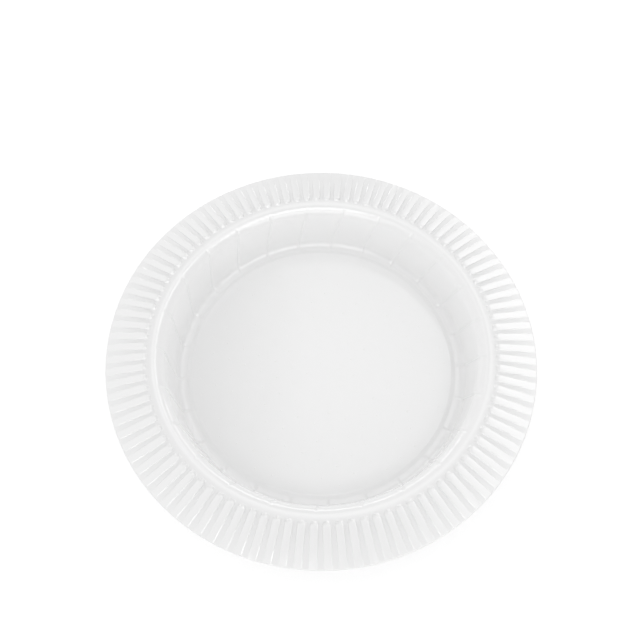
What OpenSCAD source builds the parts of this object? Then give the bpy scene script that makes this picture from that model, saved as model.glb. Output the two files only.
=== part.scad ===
// Deep round plate with a fluted rim, pressed from one thin sheet of glossy plastic.
// The frame stands on the plate's axis: +Z is up, and z = 0 is the surface that the plate rests on.
//
// The sheet follows one line from the axis to the rim, given as corners that are then rounded.
// Seen from above the plate is a ring of equal panels, each from one wall groove to the next.
// Every ring of points along the line is worked out panel by panel, once for the upper side
// and once for the lower side, and the rings are joined into one closed skin.

/* [Sheet] */
// Thickness of the plastic sheet
sheet_t = 0.6; // [0.4:0.1:1]
// Diameter of the plate across its rim
rim_d = 210; // [190:1:240]

/* [Floor] */
// Diameter of the raised floor at the top of its edge
floor_d = 137; // [80:1:140]
// Height that the floor stands above the foot ring
floor_lift = 0.7; // [0.5:0.1:2]
// Width of the slope from the floor down to the foot ring
floor_slope_w = 2; // [1.5:0.1:3]
// Radius of the two small bends of that slope
floor_bend_r = 1.4; // [1.2:0.1:1.8]

/* [Wall] */
// Diameter where the lines of foot ring and wall meet
foot_d = 150.5; // [148:0.5:153]
// Diameter where the lines of wall and rim meet
shoulder_d = 156; // [154:0.5:160]
// Height at which the lines of wall and rim meet
shoulder_h = 29; // [20:0.5:40]
// Radius of the bend between foot ring and wall
foot_bend_r = 2.5; // [1.5:0.1:2.8]
// Radius of the bend between wall and rim
shoulder_bend_r = 4.5; // [2:0.1:4.8]
// Number of wall panels, with a groove between each two
panel_count = 25; // [12:1:30]
// Width of a groove on the inner side of the wall
groove_w = 2.2; // [1.6:0.1:3]
// Depth of a groove
groove_depth = 0.5; // [0.3:0.05:0.7]
// Angle round the plate from a groove's upper end to its lower end, in degrees
groove_slant = 4.5; // [0:0.5:8]
// Direction of the first groove's upper end, in degrees from +X
groove_turn = 9.2; // [0:0.1:14.4]

/* [Rim and flutes] */
// Angle at which the rim falls away outwards, in degrees
rim_fall = 2; // [0:0.5:8]
// Number of flutes on each panel
flutes_per_panel = 4; // [3:1:4]
// Diameter of the ring that the flutes' inner ends touch
flute_start_d = 170; // [169:1:176]
// Length of a flute's rounded inner end
flute_nose = 1.6; // [1:0.1:3]
// Width of a flute at its foot
flute_w = 3.8; // [2.8:0.1:4]
// Width of a flute's top
flute_top_w = 1.8; // [1:0.1:2.4]
// Height of a flute above the rim
flute_h = 1; // [0.6:0.1:1.4]
// Length over which a flute runs out towards the rim's edge
flute_run_out = 3.5; // [2:0.5:6]
// Height of a flute at the rim's edge
flute_edge_h = 0.2; // [0.1:0.1:0.6]
// Turn of the flutes past the middle between two points of the wall, in degrees
flute_shift = 1.4; // [-1.8:0.1:1.8]

/* [Hidden] */

rim_r = rim_d / 2;
shoulder_r = shoulder_d / 2;
panel = 360 / panel_count;
// Wall points in one panel, one between each two flutes
wall_n = flutes_per_panel;
// Points across one flute: foot, top, top, foot
flute_n = 4;
wall_ring = panel_count * wall_n;
rim_ring = wall_ring * flute_n;

// Corners of the upper surface before they are rounded: [radius, height]
corners = [
    [0, sheet_t + floor_lift],
    [floor_d / 2, sheet_t + floor_lift],
    [floor_d / 2 + floor_slope_w, sheet_t],
    [foot_d / 2, sheet_t],
    [shoulder_r, shoulder_h],
    [rim_r, shoulder_h - (rim_r - shoulder_r) * tan(rim_fall)]
];
// At each inner corner: bend radius of the upper surface, and steps of the bend
bend_radii = [0, floor_bend_r, floor_bend_r, foot_bend_r, shoulder_bend_r];
bend_steps = [0, 1, 1, 3, 4];
foot = 3;
shoulder = 4;

// Direction of the stretch that ends at corner i, in degrees
function heading(i) = let (d = corners[i] - corners[i - 1]) atan2(d[1], d[0]);

function along(a) = [cos(a), sin(a)];

// The side of a stretch that faces up and into the plate
function upwards(a) = [-sin(a), cos(a)];

// How far a groove is pressed in at a step of a bend, from 0 to 1
function groove_share(i, step) =
    i == foot ? step / bend_steps[i] :
    i == shoulder ? 1 - step / bend_steps[i] : 0;

// A point of bend i, a depth below the upper surface and pressed outwards by the groove
function bend_point(i, step, depth, press) =
    let (
        a = heading(i),
        b = heading(i + 1),
        side = b > a ? 1 : -1,
        r = bend_radii[i],
        reach = r * tan(abs(b - a) / 2),
        centre = corners[i] - reach * along(a) + side * r * upwards(a),
        here = a + (b - a) * step / bend_steps[i]
    )
    centre - (side * r + depth + press) * upwards(here);

// Angles of one panel's wall points from its groove. A pinched ring follows the groove's sides.
function wall_angle(j, pinched) =
    let (
        half = atan(groove_w / foot_d),
        even = (j - 1) * panel / wall_n,
        close = j < 3 ? (j - 1) * half : half + (j - 2) * (panel - 2 * half) / (wall_n - 2)
    )
    pinched ? close : even;

function turned(p, a) = [p[0] * cos(a), p[0] * sin(a), p[1]];

// Rings of points from the floor's edge to the end of the shoulder's bend
function wall_rings(depth) = [
    for (i = [1:shoulder], step = [0:bend_steps[i]])
        let (
            share = groove_share(i, step),
            slant = i == shoulder ? 0 : groove_slant
        )
        [for (k = [0:panel_count - 1], j = [0:wall_n - 1])
            let (press = j == 1 ? share * groove_depth : 0)
            turned(
                bend_point(i, step, depth, press),
                groove_turn + slant + k * panel + wall_angle(j, share > 0)
            )]
];

// Height of the rim at a radius, a depth below its upper surface
function rim_z(r, depth) = shoulder_h - (r - shoulder_r) * tan(rim_fall) - depth / cos(rim_fall);

// One ring across all flutes. The feet of a flute lie a lag behind its top.
function flute_ring(r, lag, height, depth) = [
    for (f = [0:wall_ring - 1], q = [0:flute_n - 1])
        let (
            top = q == 1 || q == 2,
            here = top ? r : r + lag,
            half = atan((top ? flute_top_w : flute_w) / 2 / here),
            middle = (f - 0.5) * panel / wall_n + flute_shift
        )
        turned(
            [here, rim_z(here, depth) + (top ? height : 0)],
            groove_turn + middle + (q < 2 ? -half : half)
        )
];

function rim_rings(depth) =
    let (start = flute_start_d / 2)
    [
        flute_ring(start, flute_nose / 2, 0, depth),
        flute_ring(start + flute_nose, 0, flute_h, depth),
        flute_ring(rim_r - flute_run_out, 0, flute_h, depth),
        flute_ring(rim_r, 0, flute_edge_h, depth)
    ];

function joined(lists) = [for (list = lists) each list];

// All points of one side: the middle of the floor, the wall's rings and the rim's rings
function side_points(depth) =
    concat([[0, 0, corners[0][1] - depth]], joined(wall_rings(depth)), joined(rim_rings(depth)));

wall_ring_count = len(wall_rings(0));
rim_ring_count = len(rim_rings(0));
side_n = 1 + wall_ring_count * wall_ring + rim_ring_count * rim_ring;

// Number of a point in the list of its side
function wall_at(ring, k) = 1 + ring * wall_ring + k % wall_ring;

function rim_at(ring, k) = 1 + wall_ring_count * wall_ring + ring * rim_ring + k % rim_ring;

// Two triangles between points k and k + 1 of two rings
function strip(a, b, c, d) = [[a, b, c], [b, d, c]];

// Triangles of the upper side, with their fronts up
function side_faces() =
    let (
        last = wall_ring_count - 1,
        middle = [for (k = [0:wall_ring - 1]) [0, wall_at(0, k + 1), wall_at(0, k)]],
        wall = [for (i = [0:last - 1], k = [0:wall_ring - 1])
            each strip(wall_at(i, k), wall_at(i, k + 1), wall_at(i + 1, k), wall_at(i + 1, k + 1))],
        seam = [for (k = [0:wall_ring - 1])
            let (
                a = wall_at(last, k),
                b = wall_at(last, k + 1),
                // The flute between wall points k and k + 1
                f = [for (q = [0:flute_n]) rim_at(0, k * flute_n + q)]
            )
            each [[a, f[1], f[0]], [a, f[2], f[1]], [a, b, f[2]], [b, f[3], f[2]], [b, f[4], f[3]]]],
        rim = [for (i = [0:rim_ring_count - 2], k = [0:rim_ring - 1])
            each strip(rim_at(i, k), rim_at(i, k + 1), rim_at(i + 1, k), rim_at(i + 1, k + 1))]
    )
    concat(middle, wall, seam, rim);

function flipped(face) = [face[2] + side_n, face[1] + side_n, face[0] + side_n];

// The narrow outer face between the two sides
function edge_faces() =
    let (last = rim_ring_count - 1)
    [for (k = [0:rim_ring - 1])
        each strip(
            rim_at(last, k),
            rim_at(last, k + 1),
            rim_at(last, k) + side_n,
            rim_at(last, k + 1) + side_n
        )];

module plate() {
    upper = side_faces();
    color([0.93, 0.93, 0.93])
    polyhedron(
        points = concat(side_points(0), side_points(sheet_t)),
        faces = concat(upper, [for (face = upper) flipped(face)], edge_faces())
    );
}

plate();
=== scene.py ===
# %% [markdown]
# A deep party plate, pressed from one thin sheet of milky white plastic.
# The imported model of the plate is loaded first, as a fixed frame.
# Its solid has the right sizes but flat faces, so a finer skin is worked out
# here and stands in for it. All lengths below are in millimetres, and every
# mesh is made in metres at the end, with its place in its own points.

# %% The frame
import math

import bpy
import numpy as np
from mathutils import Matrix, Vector


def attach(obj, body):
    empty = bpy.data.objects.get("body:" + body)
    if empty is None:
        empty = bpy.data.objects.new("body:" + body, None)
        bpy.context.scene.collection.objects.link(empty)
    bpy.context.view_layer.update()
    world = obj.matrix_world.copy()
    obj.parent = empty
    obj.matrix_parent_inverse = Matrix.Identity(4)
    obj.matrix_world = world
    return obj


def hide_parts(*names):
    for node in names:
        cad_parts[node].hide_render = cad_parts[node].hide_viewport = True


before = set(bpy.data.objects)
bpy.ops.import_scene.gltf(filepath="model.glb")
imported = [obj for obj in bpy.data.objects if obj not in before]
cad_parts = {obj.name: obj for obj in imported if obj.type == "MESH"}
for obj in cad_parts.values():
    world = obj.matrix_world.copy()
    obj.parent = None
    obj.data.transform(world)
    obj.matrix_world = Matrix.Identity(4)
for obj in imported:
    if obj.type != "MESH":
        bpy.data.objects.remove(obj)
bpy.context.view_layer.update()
MM = 0.001

# %% [markdown]
# The sheet follows one line from the middle of the floor to the rim.
# The line is given by its corners, which are then rounded with arcs.
# A lathe-like shape could come from the Screw modifier, but the grooves and
# flutes have to bend this line at every angle, so its points stay in numpy.

# %% The line of the sheet
SHEET = 0.6
FLOOR_TOP = 1.3
RIM_R = 104.98
RIM_FALL = math.radians(2)
SHOULDER = (78.0, 29.0)
CORNERS = np.array([
    (0.0, FLOOR_TOP),
    (68.5, FLOOR_TOP),
    (70.5, SHEET),
    (75.25, SHEET),
    SHOULDER,
    (RIM_R, SHOULDER[1] - (RIM_R - SHOULDER[0]) * math.tan(RIM_FALL)),
])
BENDS = {1: (1.2, 3), 2: (1.2, 3), 3: (3.2, 6), 4: (6.0, 10)}


def rounded_corner(i, radius, steps):
    """Arc that touches both lines of corner i: centre plus radius times the turned normal."""
    before = CORNERS[i] - CORNERS[i - 1]
    after = CORNERS[i + 1] - CORNERS[i]
    a = math.atan2(before[1], before[0])
    b = math.atan2(after[1], after[0])
    side = 1 if b > a else -1
    reach = radius * math.tan(abs(b - a) / 2)
    centre = CORNERS[i] - reach * np.array([math.cos(a), math.sin(a)])
    centre = centre + side * radius * np.array([-math.sin(a), math.cos(a)])
    here = np.linspace(a, b, steps)
    return centre - side * radius * np.stack([-np.sin(here), np.cos(here)], axis=1)


def between(p, q, shares):
    """Points on the straight line from p to q, at the given shares of its length."""
    return p + np.outer(shares, q - p)


arcs = {i: rounded_corner(i, *bend) for i, bend in BENDS.items()}
print("points on the bends:", {i: len(arc) for i, arc in arcs.items()})

# %% [markdown]
# The rings of the mesh lie on that line. They are close together where
# something happens: at the bends, at the round ends of the flutes, and at
# the edge of the rim. The floor and the wall are nearly straight, so a few
# rings do there.

# %% Rings along the line
FLUTE_START = 85.0
NOSE_RINGS = np.array([-0.4, -0.1, 0.1, 0.45, 0.9, 1.5, 2.2])
BODY_RINGS = np.array([90.0, 94.0, 98.0, 102.0, 104.0, 104.5, 104.8])
rim_radii = np.concatenate([FLUTE_START + NOSE_RINGS, BODY_RINGS])
rim_line = np.stack([
    rim_radii,
    SHOULDER[1] - (rim_radii - SHOULDER[0]) * math.tan(RIM_FALL),
], axis=1)
line = np.concatenate([
    np.array([[2.0, FLOOR_TOP], [60.0, FLOOR_TOP]]),
    arcs[1],
    arcs[2],
    arcs[3],
    between(arcs[3][-1], arcs[4][0], [0.2, 0.4, 0.6, 0.8]),
    arcs[4],
    rim_line,
])
ring_r, ring_z = line.T
print("rings:", len(line), "from radius", ring_r[0], "to", ring_r[-1])

# %% [markdown]
# Round the plate the mesh has columns. On the rim each flute needs its own,
# at fixed distances from its middle line, so that its sides stay parallel.
# On the wall the columns gather at each groove instead. Both sets are sorted
# by angle and paired, and each column slides from one place to the other on
# the smooth strip between wall and flutes.

# %% Columns round the plate
PANELS = 25
FLUTES = 4
PANEL = 360 / PANELS
PITCH = PANEL / FLUTES
GROOVE_TURN = 9.2
FLUTE_SHIFT = -0.4
FLUTE_W = 3.8
GROOVE_W = 2.2
half_flute = FLUTE_W / 2 * np.array([-1.1, -1, -0.86, -0.76, 0, 0.76, 0.86, 1, 1.1])
half_groove = GROOVE_W / 2 * np.array([-1.2, -1, -0.65, -0.3, 0, 0.3, 0.65, 1, 1.2])
COLUMNS = FLUTES * (len(half_flute) + 1)

# Each rim column: the middle line it belongs to, in degrees, and its distance from it in mm.
# One column runs along the middle of each gap between two flutes.
# The columns are sorted at a radius halfway along the flutes.
SORT_R = 95
middles = FLUTE_SHIFT + PITCH * np.arange(-3, 3)
rim_middle = np.concatenate([np.repeat(middles, len(half_flute)), middles + PITCH / 2])
rim_offset = np.concatenate([np.tile(half_flute, len(middles)), np.zeros(len(middles))])
rim_in_gap = np.repeat([False, True], [len(middles) * len(half_flute), len(middles)])
rim_angle = rim_middle + np.degrees(rim_offset / SORT_R)
inside = (rim_angle >= -PANEL / 2) & (rim_angle < PANEL / 2)
order = np.flatnonzero(inside)[np.argsort(rim_angle[inside])]
rim_middle, rim_offset, rim_in_gap = rim_middle[order], rim_offset[order], rim_in_gap[order]

# Each wall column: its distance from the groove in mm at the wall's middle radius
WALL_R = 76.5
edge = np.degrees(half_groove[-1] / WALL_R)
spare = COLUMNS - len(half_groove)
free = edge + (PANEL - 2 * edge) * (np.arange(spare) + 1) / (spare + 1)
free = np.where(free > PANEL / 2, free - PANEL, free)
wall_angle = np.sort(np.concatenate([np.degrees(half_groove / WALL_R), free]))
print("columns in a panel:", len(rim_middle), len(wall_angle), "in all:", PANELS * COLUMNS)

# %% [markdown]
# The grooves are pressed into the wall from the inside and lean a little.
# Each runs from the foot ring up to the shoulder and fades out there.
# The flutes are raised bars with a flat top, narrow sides and a round inner
# end: all points within half a width of a middle line. A flute is highest at
# its inner end and falls evenly to the edge. So its top leans more than the
# rim does and mirrors another part of the room, and it shows as a pale bar.

# %% Shape of grooves and flutes
GROOVE_DEPTH = 0.35
GROOVE_SLANT = 4.4
# Radii between which a groove fades in at the foot, and heights between which it fades out
FADE_IN_R = (71.6, 73.2)
FADE_OUT_Z = (26.8, 28.6)
# Height at which a groove starts to lean, and the height over which it does
LEAN_TOP_Z = 27.5
LEAN_HEIGHT = 26.5
FLUTE_H = 0.95
EDGE_H = 0.08
# A flute's height falls from the first radius to the second
FALL_R = (FLUTE_START + 1.5, 104.6)
# Share of a flute's half width that is flat
FLAT_SHARE = 0.84
# Radii between which the columns slide from their wall places to their rim places
SLIDE_R = (83.6, 84.6)


def smooth(x, start, end):
    """Goes from 0 at start to 1 at end along 3 t squared minus 2 t cubed."""
    t = np.clip((x - start) / (end - start), 0, 1)
    return t * t * (3 - 2 * t)


def groove_press(r, z, angle):
    """Depth times a cosine bell across the groove, times a fade at both of its ends."""
    across = np.abs(angle) * np.pi / 180 * r / (GROOVE_W / 2)
    bell = 0.5 + 0.5 * np.cos(np.pi * np.clip(across, 0, 1))
    fade = smooth(r, *FADE_IN_R) * (1 - smooth(z, *FADE_OUT_Z))
    return GROOVE_DEPTH * bell * fade


def flute_height(r, offset):
    """Height of the flat top, which falls evenly outwards, times a fall from 1 to 0 at the sides."""
    inner = np.clip(FLUTE_START + FLUTE_W / 2 - r, 0, None)
    d = np.hypot(offset, inner) / (FLUTE_W / 2)
    top = np.interp(r, FALL_R, [FLUTE_H, EDGE_H])
    return top * (1 - smooth(d, FLAT_SHARE, 1))


def slant(z):
    """Turn of a wall column in degrees: the groove's lean, growing evenly down the wall."""
    return GROOVE_SLANT * np.clip((LEAN_TOP_Z - z) / LEAN_HEIGHT, 0, 1)


print("a groove is", GROOVE_DEPTH, "deep and a flute", FLUTE_H, "high")

# %% [markdown]
# Now the upper skin is one formula on the whole grid of rings and columns.
# The lower skin is the upper one moved by the sheet's thickness along its
# own normals, and a strip joins the two at the rim. The floor's middle is
# closed with a fan of triangles on each side.

# %% The two skins of the sheet


def upper_skin():
    """Ring point, turned to the column's angle, pressed out by the grooves, raised by the flutes."""
    r, z = ring_r[:, None], ring_z[:, None]
    slide = smooth(r, *SLIDE_R)
    on_rim = rim_middle + np.degrees(np.arcsin(rim_offset / np.maximum(r, SHOULDER[0])))
    angle = (1 - slide) * wall_angle + slide * on_rim
    press = groove_press(r, z, wall_angle)
    raised = np.where(rim_in_gap, 0, flute_height(r, rim_offset) * slide)
    along = np.gradient(line, axis=0)
    along /= np.linalg.norm(along, axis=1, keepdims=True)
    r = r + press * along[:, 1:2]
    z = z - press * along[:, 0:1] + raised
    panels = GROOVE_TURN + PANEL * np.arange(PANELS)
    turn = np.radians(panels[None, :, None] + (angle + slant(ring_z)[:, None])[:, None, :])
    turn = turn.reshape(len(line), -1)
    r = np.tile(r, (1, PANELS))
    z = np.tile(z, (1, PANELS))
    return np.stack([r * np.cos(turn), r * np.sin(turn), z], axis=2)


def skin_normals(grid):
    """Cross product of the steps along the columns and along the rings, of length one."""
    along = np.gradient(grid, axis=0)
    around = np.roll(grid, -1, axis=1) - np.roll(grid, 1, axis=1)
    normal = np.cross(along, around)
    return normal / np.linalg.norm(normal, axis=2, keepdims=True)


top = upper_skin()
normals = skin_normals(top)
bottom = top - SHEET * normals
bottom[..., 2] = np.maximum(bottom[..., 2], 0)
print("upper skin:", top.shape, "normals point up:", bool((normals[0, :, 2] > 0).all()))

# %% Faces of the closed sheet


def strip_faces(a, b):
    """Quads between two rings of vertex numbers, with the first ring on the inside."""
    return np.stack([a, b, np.roll(b, -1), np.roll(a, -1)], axis=1)


def sheet_mesh(name):
    """Both skins, the strip at the rim, and a fan at the middle of each side, in metres."""
    rings, columns, _ = top.shape
    edge_ring = top[-1] + (bottom[-1] - top[-1]) / 2
    edge_ring[:, :2] *= (RIM_R / np.hypot(edge_ring[:, 0], edge_ring[:, 1]))[:, None]
    points = np.concatenate([
        top.reshape(-1, 3),
        bottom.reshape(-1, 3),
        edge_ring,
        [[0, 0, FLOOR_TOP], [0, 0, FLOOR_TOP - SHEET]],
    ])
    number = np.arange(rings * columns).reshape(rings, columns)
    under = number + rings * columns
    rim = np.arange(columns) + 2 * rings * columns
    quads = [strip_faces(number[i], number[i + 1]) for i in range(rings - 1)]
    quads += [strip_faces(under[i + 1], under[i]) for i in range(rings - 1)]
    quads += [strip_faces(number[-1], rim), strip_faces(rim, under[-1])]
    middle = len(points) - 2
    fans = [(middle, a, b) for a, b in zip(number[0], np.roll(number[0], -1))]
    fans += [(middle + 1, b, a) for a, b in zip(under[0], np.roll(under[0], -1))]
    mesh = bpy.data.meshes.new(name)
    mesh.from_pydata(points * MM, [], np.concatenate(quads).tolist() + fans)
    mesh.shade_smooth()
    mesh.update()
    plate = bpy.data.objects.new(name, mesh)
    bpy.context.collection.objects.link(plate)
    return plate


plate = sheet_mesh("plate_sheet")
print("faces of the sheet:", len(plate.data.polygons))

# %% [markdown]
# The floor carries rows of very small pale dots. They are taken for moulded
# bumps, so each is a low dome with a few dozen faces. All of them are made at
# once from one dome that is copied to the points of a triangular lattice.

# %% Bumps on the floor
NUB_PITCH = 9.2
NUB_R = 0.42
NUB_H = 0.1
NUB_FIELD_R = 65.0
NUB_TURN = math.radians(-22)


def lattice(pitch, turn, limit):
    """Sums of whole multiples of two steps 60 degrees apart, kept inside a circle."""
    n = np.arange(-12, 13)
    i, j = [a.ravel() for a in np.meshgrid(n, n)]
    x = pitch * (i * math.cos(turn) + j * math.cos(turn + math.pi / 3))
    y = pitch * (i * math.sin(turn) + j * math.sin(turn + math.pi / 3))
    keep = np.hypot(x, y) < limit
    return np.stack([x[keep], y[keep]], axis=1)


def dome_mesh(name, places):
    """Rings of a flattened ball: radius times the cosine, height times the sine of the rise."""
    sides, rises = 8, np.radians([-30, 10, 45])
    around = np.arange(sides) * 2 * np.pi / sides
    x = NUB_R * np.cos(rises)[:, None] * np.cos(around)
    y = NUB_R * np.cos(rises)[:, None] * np.sin(around)
    z = FLOOR_TOP + NUB_H * np.sin(rises)[:, None] + 0 * around
    dome = np.stack([x, y, z], axis=2).reshape(-1, 3)
    dome = np.concatenate([dome, [[0, 0, FLOOR_TOP + NUB_H], [0, 0, FLOOR_TOP - NUB_H / 2]]])
    number = np.arange(sides * len(rises)).reshape(len(rises), sides)
    faces = [tuple(f) for i in range(len(rises) - 1)
             for f in np.stack([number[i], np.roll(number[i], -1),
                                np.roll(number[i + 1], -1), number[i + 1]], axis=1)]
    tip = len(dome) - 2
    faces += [(tip, a, b) for a, b in zip(number[-1], np.roll(number[-1], -1))]
    faces += [(tip + 1, b, a) for a, b in zip(number[0], np.roll(number[0], -1))]
    flat = np.concatenate([places, np.zeros((len(places), 1))], axis=1)
    points = (flat[:, None, :] + dome[None]).reshape(-1, 3)
    every = [tuple(int(v) + k * len(dome) for v in f) for k in range(len(places)) for f in faces]
    mesh = bpy.data.meshes.new(name)
    mesh.from_pydata(points * MM, [], every)
    mesh.shade_smooth()
    mesh.update()
    piece = bpy.data.objects.new(name, mesh)
    bpy.context.collection.objects.link(piece)
    return piece


nub_places = lattice(NUB_PITCH, NUB_TURN, NUB_FIELD_R)
nubs = dome_mesh("floor_bumps", nub_places)
print("bumps:", len(nub_places), "faces:", len(nubs.data.polygons))

# %% [markdown]
# The plastic is glossy and milky. Its colour is one pale grey white, and its
# life comes from the gloss: a pressed sheet is never quite even, so a wide
# soft noise bends the reflections a little, and a fine one dulls them in
# places. Both read Object coordinates, which stay fixed to the plate.
# The bumps are given a paler colour than the sheet: a painted highlight that helps them show as pale dots.

# %% Milky plastic
PLASTIC = (0.93, 0.93, 0.93, 1)
# Painted highlight: a paler colour for the bumps, standing in for the light their small domes catch
PAINTED_HIGHLIGHT_COLOUR = (0.97, 0.97, 0.97, 1)


def milky_plastic(name, colour):
    """A glossy shader with two scales of soft unevenness."""
    material = bpy.data.materials.new(name)
    material.use_nodes = True
    tree = material.node_tree
    node, link = tree.nodes.new, tree.links.new
    shader = tree.nodes["Principled BSDF"]
    shader.inputs["Base Color"].default_value = colour
    shader.inputs["IOR"].default_value = 1.5
    place = node("ShaderNodeTexCoord")
    haze = node("ShaderNodeTexNoise")
    haze.inputs["Scale"].default_value = 60
    haze.inputs["Detail"].default_value = 3
    rough = node("ShaderNodeMapRange")
    rough.inputs["To Min"].default_value = 0.07
    rough.inputs["To Max"].default_value = 0.15
    link(place.outputs["Object"], haze.inputs["Vector"])
    link(haze.outputs["Fac"], rough.inputs["Value"])
    link(rough.outputs["Result"], shader.inputs["Roughness"])
    waves = node("ShaderNodeTexNoise")
    waves.inputs["Scale"].default_value = 45
    waves.inputs["Detail"].default_value = 2
    bump = node("ShaderNodeBump")
    bump.inputs["Strength"].default_value = 0.12
    bump.inputs["Distance"].default_value = 0.0012
    link(place.outputs["Object"], waves.inputs["Vector"])
    link(waves.outputs["Fac"], bump.inputs["Height"])
    link(bump.outputs["Normal"], shader.inputs["Normal"])
    return material


plastic = milky_plastic("milky_plastic", PLASTIC)
# The bumps' material carries the painted highlight colour
painted_highlight_plastic = milky_plastic("milky_plastic_painted_highlight", PAINTED_HIGHLIGHT_COLOUR)
for piece, material in ((plate, plastic), (nubs, painted_highlight_plastic)):
    piece.data.materials.append(material)
    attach(piece, "root")
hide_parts("plate")
print("plastic nodes:", len(plastic.node_tree.nodes))

# %% [markdown]
# Ground and sky need small node trees of their own. Two helpers keep them
# readable: one makes a node and fills its inputs, the other calculates.

# %% Helpers for nodes


def make(tree, kind, *sources, **inputs):
    """A new node. Its first inputs take the sources in order, and others are given by name."""
    made = tree.nodes.new(kind)
    sockets = [(made.inputs[i], source) for i, source in enumerate(sources)]
    sockets += [(made.inputs[name.replace("_", " ")], value) for name, value in inputs.items()]
    for socket, value in sockets:
        if hasattr(value, "node"):
            tree.links.new(value, socket)
        else:
            socket.default_value = value
    return made


def calculate(tree, operation, *sources):
    """Result of a Math node, such as the product or the sum of two sources."""
    made = make(tree, "ShaderNodeMath", *sources)
    made.operation = operation
    return made.outputs["Value"]


def ramp(tree, value, ends, results):
    """Straight line from the first result to the second, level beyond both ends."""
    made = make(tree, "ShaderNodeMapRange", value, From_Min=ends[0], From_Max=ends[1],
                To_Min=results[0], To_Max=results[1])
    return made.outputs["Result"]


print("helpers for nodes are ready")

# %% [markdown]
# The plate stands on a pale floor that runs out of the picture, and the
# photograph's ground is pure white. The floor is nearly white itself, and
# camera, mirror and see-through rays find a white glow added to it, so that
# only a faint shadow of the plate is left.

# %% Floor
GROUND_GLOW = 0.40
GROUND_COLOUR = (0.8, 0.8, 0.8, 1)
GROUND_HALF = 6.0
GROUND_Z = -0.0002


def glowing_white(name):
    """Matte white plus a glow that only camera, glossy and transmission rays find."""
    material = bpy.data.materials.new(name)
    material.use_nodes = True
    tree = material.node_tree
    tree.nodes.clear()
    rays = make(tree, "ShaderNodeLightPath").outputs
    seen = calculate(tree, "MAXIMUM", rays["Is Camera Ray"], rays["Is Glossy Ray"])
    seen = calculate(tree, "MAXIMUM", seen, rays["Is Transmission Ray"])
    dark = make(tree, "ShaderNodeEmission", Strength=0)
    glow = make(tree, "ShaderNodeEmission", Strength=GROUND_GLOW)
    pick = make(tree, "ShaderNodeMixShader", seen, dark.outputs[0], glow.outputs[0])
    matte = make(tree, "ShaderNodeBsdfDiffuse", Color=GROUND_COLOUR)
    both = make(tree, "ShaderNodeAddShader", pick.outputs[0], matte.outputs[0])
    make(tree, "ShaderNodeOutputMaterial", both.outputs[0])
    return material


def pale_floor():
    """A large square just under the plate."""
    size = GROUND_HALF
    corners = [(-size, -size), (size, -size), (size, size), (-size, size)]
    mesh = bpy.data.meshes.new("ground")
    mesh.from_pydata([(x, y, GROUND_Z) for x, y in corners], [], [(0, 1, 2, 3)])
    mesh.materials.append(glowing_white("white_ground"))
    ground = bpy.data.objects.new("ground", mesh)
    bpy.context.collection.objects.link(ground)
    return ground


ground = pale_floor()

# %% [markdown]
# The plain light is a soft white sky. It is brighter towards the horizon, so
# that the steep wall stays pale, and a little stronger from the left.
# What makes the plastic look glossy is what it mirrors. Mirror-like rays find
# a sky of their own, which is set for the photograph's view: the rim's flat
# parts mirror a dim round hole in it, and the tops of the flutes mirror the
# bright ring round that hole. A patch inside the hole is mirrored by the
# plate's floor. From other sides these parts lie elsewhere on the plate.

# %% Sky
SKY_TOP = 0.77
SKY_FOOT = 1.2
LEFT_SHARE = 1.06
RIGHT_SHARE = 0.94
MIRROR_SKY = 0.45
PATCH_GLOW = 1.8
RIGHT_GLOW = 4.0
LEFT_GLOW = 1.0
# Places on a ceiling one unit above the plate: x over z and y over z of a direction
HOLE = (0.0, 0.47, 0.0)
LOWEST_RISE = 0.05
# Distances from the hole's middle, or from the line x = 0, between which a part fades
RING_STARTS = (0.43, 0.48)
RING_ENDS = (0.66, 0.95)
PATCH_ENDS = (0.27, 0.38)
PATCH_STARTS_X = (-0.18, -0.02)
RIGHT_STARTS_X = (0.15, 0.55)
LEFT_STARTS_X = (-0.05, -0.4)


def mirrored_sky(tree, direction, rise):
    """Base glow, plus ring times its two sides, plus the patch inside the hole."""
    height = ramp(tree, rise, (LOWEST_RISE, 1), (LOWEST_RISE, 1))
    ceiling = make(tree, "ShaderNodeVectorMath", direction, height)
    ceiling.operation = "DIVIDE"
    spot = make(tree, "ShaderNodeSeparateXYZ", ceiling.outputs["Vector"]).outputs
    flat = make(tree, "ShaderNodeCombineXYZ", spot["X"], spot["Y"])
    away = make(tree, "ShaderNodeVectorMath", flat.outputs["Vector"], HOLE)
    away.operation = "DISTANCE"
    distance = away.outputs["Value"]
    right = ramp(tree, spot["X"], RIGHT_STARTS_X, (0, RIGHT_GLOW))
    left = ramp(tree, spot["X"], LEFT_STARTS_X, (0, LEFT_GLOW))
    ring = calculate(tree, "MULTIPLY", ramp(tree, distance, RING_STARTS, (0, 1)),
                     ramp(tree, distance, RING_ENDS, (1, 0)))
    ring = calculate(tree, "MULTIPLY", ring, calculate(tree, "ADD", right, left))
    patch = calculate(tree, "MULTIPLY", ramp(tree, distance, PATCH_ENDS, (PATCH_GLOW, 0)),
                      ramp(tree, spot["X"], PATCH_STARTS_X, (0, 1)))
    return calculate(tree, "ADD", calculate(tree, "ADD", ring, MIRROR_SKY), patch)


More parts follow.
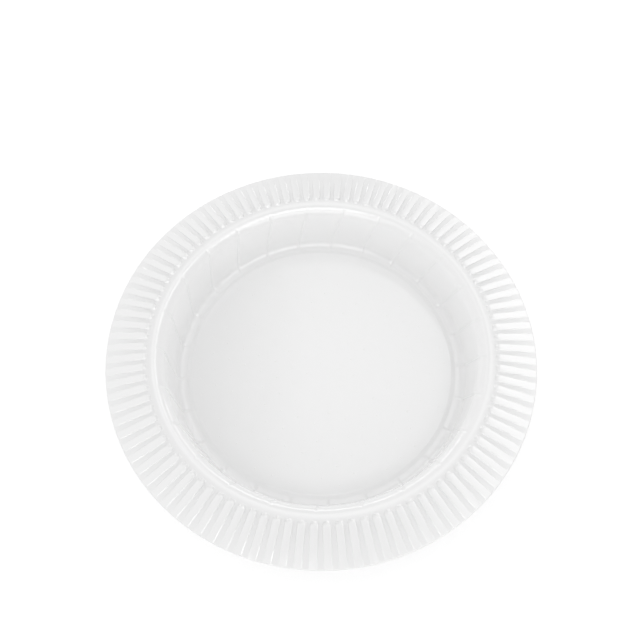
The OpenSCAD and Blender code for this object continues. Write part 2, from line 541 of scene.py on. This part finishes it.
def studio_sky():
    """Plain rays: brightness by rise times a share by side. Glossy rays: the mirrored sky."""
    world = bpy.data.worlds.new("sky")
    bpy.context.scene.world = world
    world.use_nodes = True
    tree = world.node_tree
    direction = make(tree, "ShaderNodeTexCoord").outputs["Generated"]
    parts = make(tree, "ShaderNodeSeparateXYZ", direction).outputs
    by_rise = ramp(tree, parts["Z"], (0, 1), (SKY_FOOT, SKY_TOP))
    by_side = ramp(tree, parts["X"], (-1, 1), (LEFT_SHARE, RIGHT_SHARE))
    plain = calculate(tree, "MULTIPLY", by_rise, by_side)
    glossy = make(tree, "ShaderNodeLightPath").outputs["Is Glossy Ray"]
    pick = make(tree, "ShaderNodeMix", Factor=glossy, A=plain, B=mirrored_sky(tree, direction, parts["Z"]))
    shade = tree.nodes["Background"]
    shade.inputs["Color"].default_value = (1, 1, 1, 1)
    tree.links.new(pick.outputs["Result"], shade.inputs["Strength"])
    return world


sky = studio_sky()
print("sky nodes:", len(sky.node_tree.nodes))

# %% [markdown]
# Four panels add what a sky of smooth ramps can't give: sharp bright lines.
# They give no plain light. Three stand at the near side, two of them above
# the plate and one behind the camera, where the bends of the far shoulder and
# the far wall's foot can mirror them. The fourth is low at the far side.

# %% Mirror panels
CENTRE = (0, 0, 0.02)


def mirror_panel(name, place, size, radiance, aim=None):
    """A rectangle that lights no matte surface: power is 4 times radiance times area."""
    lamp = bpy.data.lights.new(name, "AREA")
    lamp.shape = "RECTANGLE"
    lamp.size, lamp.size_y = size
    lamp.energy = 4 * radiance * size[0] * size[1]
    panel = bpy.data.objects.new(name, lamp)
    bpy.context.collection.objects.link(panel)
    panel.visible_diffuse = False
    panel.location = place
    if aim is not None:
        turn = (Vector(aim) - Vector(place)).to_track_quat("-Z", "Y")
        panel.rotation_euler = turn.to_euler()
    return panel


panels = [
    mirror_panel("near_above", (0.35, -0.50, 1.1), (1.3, 0.6), 3.4),
    mirror_panel("near_above_left", (-0.6, -0.50, 1.1), (0.55, 0.55), 1.2),
    mirror_panel("near_behind", (0.1, -1.3, 0.9), (2.0, 0.8), 2.0, CENTRE),
    mirror_panel("far_low", (0.1, 1.2, 0.42), (2.0, 0.3), 3.0, CENTRE),
]
print("panels:", [panel.name for panel in panels])

# %% [markdown]
# The camera looks down at the plate from in front, as the photograph does.
# Its place was worked out from the oval of the rim and the rings of the
# floor: the oval's flatness gives the angle, and the way the rings crowd
# together at the far side gives the distance.

# %% Camera
LOOK_AT = Vector((-0.578, 12.19, 28.1)) * MM
RISE = math.radians(63.762)
AWAY = 319.84 * MM
camera_data = bpy.data.cameras.new("camera")
camera_data.lens = 36
camera_data.sensor_width = 36
camera_data.clip_start = 0.01
camera = bpy.data.objects.new("camera", camera_data)
bpy.context.collection.objects.link(camera)
back = Vector((0, -math.cos(RISE), math.sin(RISE)))
camera.location = LOOK_AT + AWAY * back
camera.rotation_euler = (-back).to_track_quat("-Z", "Y").to_euler()
bpy.context.scene.camera = camera
bpy.context.scene.view_settings.view_transform = "Standard"
print("camera at", [round(x, 3) for x in camera.location])
